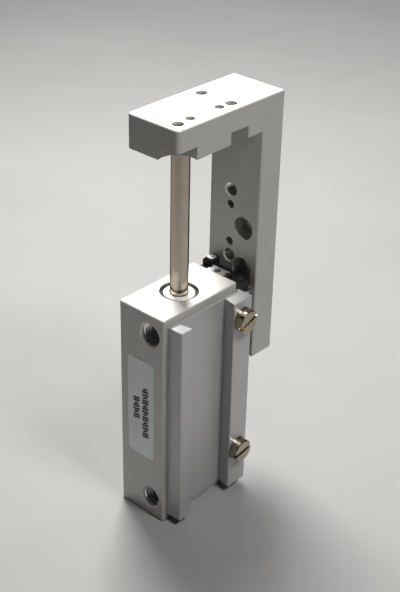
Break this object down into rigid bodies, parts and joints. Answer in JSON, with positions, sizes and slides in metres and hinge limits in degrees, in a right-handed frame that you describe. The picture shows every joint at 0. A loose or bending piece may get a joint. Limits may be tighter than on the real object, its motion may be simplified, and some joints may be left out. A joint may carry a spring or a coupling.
{
  "type": "pneumatic cylinder",
  "caption": "Slim slide-table air cylinder: an L-shaped table on a ball guide is driven by the rod of a rectangular body with an undercut sensor channel.",
  "frame": {"origin": "where the rod axis meets the flat foot of the body", "axes": "+Z along the rod towards the end plate, +X towards the sensor rail, +Y towards the linear guide"},
  "size_m": [0.0196, 0.0354, 0.0945],
  "materials": {
    "anodised_body": "sand-blasted clear anodised",
    "anodised_rail": "clear anodised extrusion",
    "anodised_table": "sand-blasted clear anodised",
    "cover_aluminium": "turned",
    "rod_steel": "hard-chromed and polished",
    "ground_steel": "ground",
    "ball_steel": "polished",
    "screw_steel": "plain",
    "nickel_screws": "nickel-plated",
    "white_plastic": "moulded white",
    "black_plastic": "moulded black",
    "black_rubber": "nitrile",
    "black_steel": "phosphated black",
    "magnet_black": "bonded magnet",
    "bumper_urethane": "urethane",
    "label": "silver foil"
  },
  "bodies": {
    "cylinder": {"cylinder_body": "anodised_body", "sensor_rail": "anodised_rail", "sensor_rail_screws": "nickel_screws", "sensor_rail_washers": "nickel_screws", "name_label": "label", "rod_cover": "white_plastic", "rod_cover_o_ring": "black_rubber", "rod_seal": "black_rubber", "rod_cover_snap_ring": "black_steel", "head_cover": "cover_aluminium", "head_cover_o_ring": "black_rubber", "head_cover_snap_ring": "black_steel", "guide_rail": "ground_steel", "guide_rail_screws": "screw_steel"},
    "table": {"slide_table": "anodised_table", "piston_rod": "rod_steel", "piston_upper": "cover_aluminium", "piston_lower": "cover_aluminium", "piston_seal": "black_rubber", "piston_magnet": "magnet_black", "piston_bumper_upper": "bumper_urethane", "piston_bumper_lower": "bumper_urethane", "rod_set_screw": "screw_steel", "guide_block": "ground_steel", "block_cap_upper": "black_plastic", "block_cap_lower": "black_plastic", "block_cap_screws": "screw_steel", "block_screws": "screw_steel", "guide_balls_left": "ball_steel", "guide_balls_right": "ball_steel"}
  },
  "joints": [
    {"name": "table_slide", "type": "slide", "parent": "cylinder", "child": "table", "axis": [0, 0, 1], "range_m": [-0.03, 0]}
  ]
}
